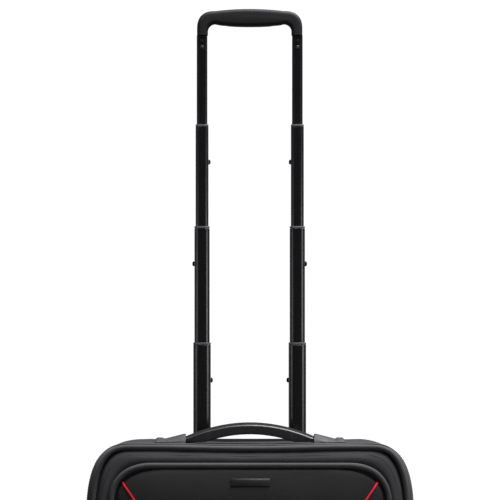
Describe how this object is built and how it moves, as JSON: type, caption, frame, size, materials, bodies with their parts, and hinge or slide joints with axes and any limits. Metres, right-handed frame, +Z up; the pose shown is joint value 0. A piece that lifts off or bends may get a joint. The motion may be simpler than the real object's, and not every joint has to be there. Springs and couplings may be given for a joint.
{
  "type": "softside upright suitcase",
  "caption": "Softside upright cabin case on inline wheels with a zipped front lid, padded pocket, telescoping trolley handle, top and side carry handles.",
  "frame": {"origin": "on the floor, under the middle of the case's outer box", "axes": "+Z up, the front pocket faces -Y, the side handle is on +X"},
  "size_m": [0.424, 0.216, 0.9932],
  "materials": {
    "fabric": "woven polyester, matt",
    "panel": "fine twill over foam, matt",
    "plastic": "moulded, fine texture",
    "grip": "satin soft-touch",
    "button": "satin",
    "tube": "black anodised, satin",
    "collar": "satin",
    "pin": "satin",
    "steel": "turned",
    "rubber": "matt",
    "zipper": "nylon coil",
    "slider": "black gloss paint",
    "badge": "satin, blank"
  },
  "bodies": {
    "case": {"body_shell": "fabric", "zipper_chain_case": "zipper", "handle_bezel": "plastic", "base_tube_left": "tube", "base_tube_right": "tube", "base_bracket": "plastic", "ear_left": "plastic", "ear_right": "plastic", "carry_end_left": "grip", "carry_end_right": "grip", "wheel_housing_left": "plastic", "wheel_housing_right": "plastic", "axle_left": "steel", "axle_right": "steel", "front_foot_left": "plastic", "front_foot_right": "plastic", "rear_guard": "plastic", "side_foot_front": "plastic", "side_foot_rear": "plastic", "side_mount_upper": "plastic", "side_mount_lower": "plastic"},
    "lid": {"lid_shell": "fabric", "zipper_chain_lid": "zipper", "pocket_panel": "panel", "badge_plate": "badge"},
    "stage4": {"stage4_tube_left": "tube", "stage4_tube_right": "tube", "stage4_collar_left": "collar", "stage4_collar_right": "collar", "stage4_pin_left": "pin", "stage4_pin_right": "pin"},
    "stage3": {"stage3_tube_left": "tube", "stage3_tube_right": "tube", "stage3_collar_left": "collar", "stage3_collar_right": "collar", "stage3_pin_left": "pin", "stage3_pin_right": "pin"},
    "stage2": {"stage2_tube_left": "tube", "stage2_tube_right": "tube", "stage2_collar_left": "collar", "stage2_collar_right": "collar", "stage2_pin_left": "pin", "stage2_pin_right": "pin"},
    "stage1": {"stage1_tube_left": "tube", "stage1_tube_right": "tube", "grip": "grip"},
    "grip_button": {"grip_button": "button"},
    "carry_handle": {"carry_grip": "grip"},
    "side_handle": {"side_grip": "grip"},
    "wheel_left": {"tyre_left": "rubber", "hub_left": "plastic"},
    "wheel_right": {"tyre_right": "rubber", "hub_right": "plastic"},
    "slider_upper": {"zip_slider_upper": "slider"},
    "tab_upper": {"zip_tab_upper": "slider"},
    "slider_lower": {"zip_slider_lower": "slider"},
    "tab_lower": {"zip_tab_lower": "slider"}
  },
  "joints": [
    {"name": "lid_hinge", "type": "hinge", "parent": "case", "child": "lid", "pos_m": [0, -0.0684, 0.046], "axis": [1, 0, 0], "range_deg": [0, 90]},
    {"name": "stage4_slide", "type": "slide", "parent": "case", "child": "stage4", "axis": [0, 0, 1], "range_m": [-0.161, 0], "deforming": ["stage4_pin_left", "stage4_pin_right"]},
    {"name": "stage3_slide", "type": "slide", "parent": "stage4", "child": "stage3", "axis": [0, 0, 1], "range_m": [-0.1438, 0], "deforming": ["stage3_pin_left", "stage3_pin_right"]},
    {"name": "stage2_slide", "type": "slide", "parent": "stage3", "child": "stage2", "axis": [0, 0, 1], "range_m": [-0.1255, 0], "deforming": ["stage2_pin_left", "stage2_pin_right"]},
    {"name": "stage1_slide", "type": "slide", "parent": "stage2", "child": "stage1", "axis": [0, 0, 1], "range_m": [-0.1115, 0]},
    {"name": "grip_button_press", "type": "slide", "parent": "stage1", "child": "grip_button", "axis": [0, 0, 1], "range_m": [0, 0.004], "stiffness_N_per_m": 600},
    {"name": "carry_handle_lift", "type": "slide", "parent": "case", "child": "carry_handle", "axis": [0, 0, 1], "range_m": [0, 0.012], "stiffness_N_per_m": 1500, "deforming": ["carry_end_left", "carry_end_right"]},
    {"name": "side_handle_lift", "type": "slide", "parent": "case", "child": "side_handle", "axis": [1, 0, 0], "range_m": [0, 0.004], "stiffness_N_per_m": 1500},
    {"name": "wheel_left_spin", "type": "hinge", "parent": "case", "child": "wheel_left", "pos_m": [-0.166, 0.08, 0.028], "axis": [1, 0, 0], "continuous": true},
    {"name": "wheel_right_spin", "type": "hinge", "parent": "case", "child": "wheel_right", "pos_m": [0.166, 0.08, 0.028], "axis": [1, 0, 0], "continuous": true},
    {"name": "slider_upper_slide", "type": "slide", "parent": "case", "child": "slider_upper", "axis": [0, 0, 1], "range_m": [0, 0.07]},
    {"name": "slider_lower_slide", "type": "slide", "parent": "case", "child": "slider_lower", "axis": [0, 0, 1], "range_m": [-0.145, 0]},
    {"name": "tab_upper_swing", "type": "hinge", "parent": "slider_upper", "child": "tab_upper", "pos_m": [0.2039, -0.06835, 0.3], "axis": [0, -1, 0], "range_deg": [0, 150]},
    {"name": "tab_lower_swing", "type": "hinge", "parent": "slider_lower", "child": "tab_lower", "pos_m": [0.2039, -0.06835, 0.256], "axis": [0, -1, 0], "range_deg": [0, 150]}
  ]
}
